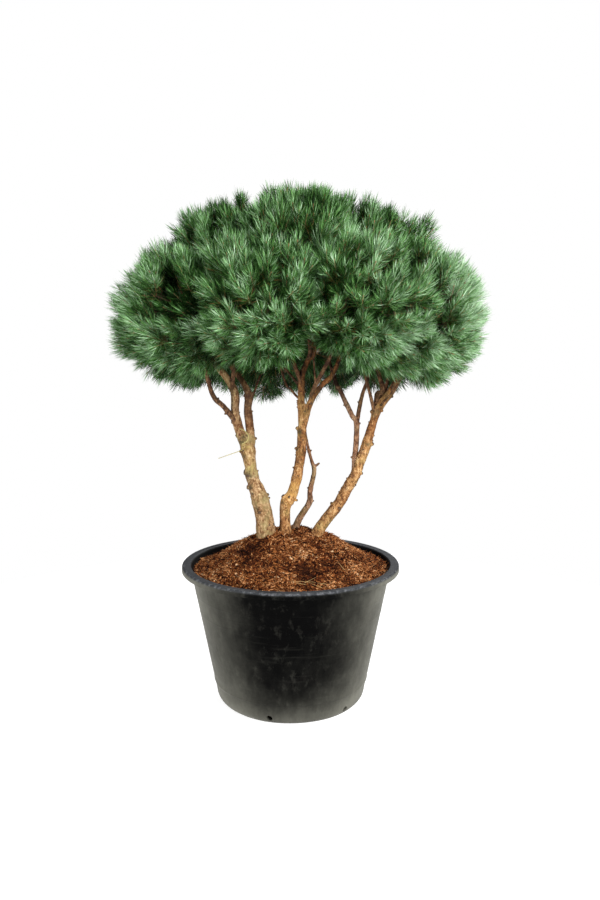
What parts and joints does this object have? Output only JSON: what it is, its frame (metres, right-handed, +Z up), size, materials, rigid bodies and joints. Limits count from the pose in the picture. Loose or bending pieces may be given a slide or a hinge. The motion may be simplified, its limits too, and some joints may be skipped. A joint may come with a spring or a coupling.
{
  "type": "potted umbrella pine tree",
  "caption": "Small pine with a wide umbrella crown of needle sprays on several leaning stems, growing in a large round nursery pot.",
  "frame": {"origin": "centre of the pot's flat underside", "axes": "+Z up, +X to the right and -Y towards the viewer as the picture shows the plant"},
  "size_m": [1.3758, 1.3484, 1.9038],
  "materials": {
    "pot": "matte black moulded plastic, dusty and scuffed at the rim",
    "substrate": "loose red-brown coir and bark chips",
    "bark": "flaking ochre and orange-tan pine bark with grey-green lichen",
    "foliage": "stiff blue-green needles"
  },
  "bodies": {
    "root": {"pot": "pot", "substrate": "substrate", "left_stem": "bark", "left_bough_side": "bark", "left_bough_back": "bark", "left_bough_front": "bark", "left_bough_high": "bark", "middle_stem": "bark", "middle_bough_high": "bark", "middle_bough_right": "bark", "middle_bough_front": "bark", "middle_bough_centre": "bark", "middle_bough_back": "bark", "middle_bough_low": "bark", "slender_stem": "bark", "right_stem": "bark", "right_bough_outer": "bark", "right_bough_inner": "bark", "right_bough_back": "bark", "right_bough_high": "bark", "right_bough_side": "bark", "outer_01": "foliage", "outer_02": "foliage", "outer_03": "foliage", "outer_04": "foliage", "outer_05": "foliage", "outer_06": "foliage", "outer_07": "foliage", "outer_08": "foliage", "outer_09": "foliage", "outer_10": "foliage", "upper_01": "foliage", "upper_02": "foliage", "upper_03": "foliage", "upper_04": "foliage", "upper_05": "foliage", "top_01": "foliage"}
  },
  "joints": []
}
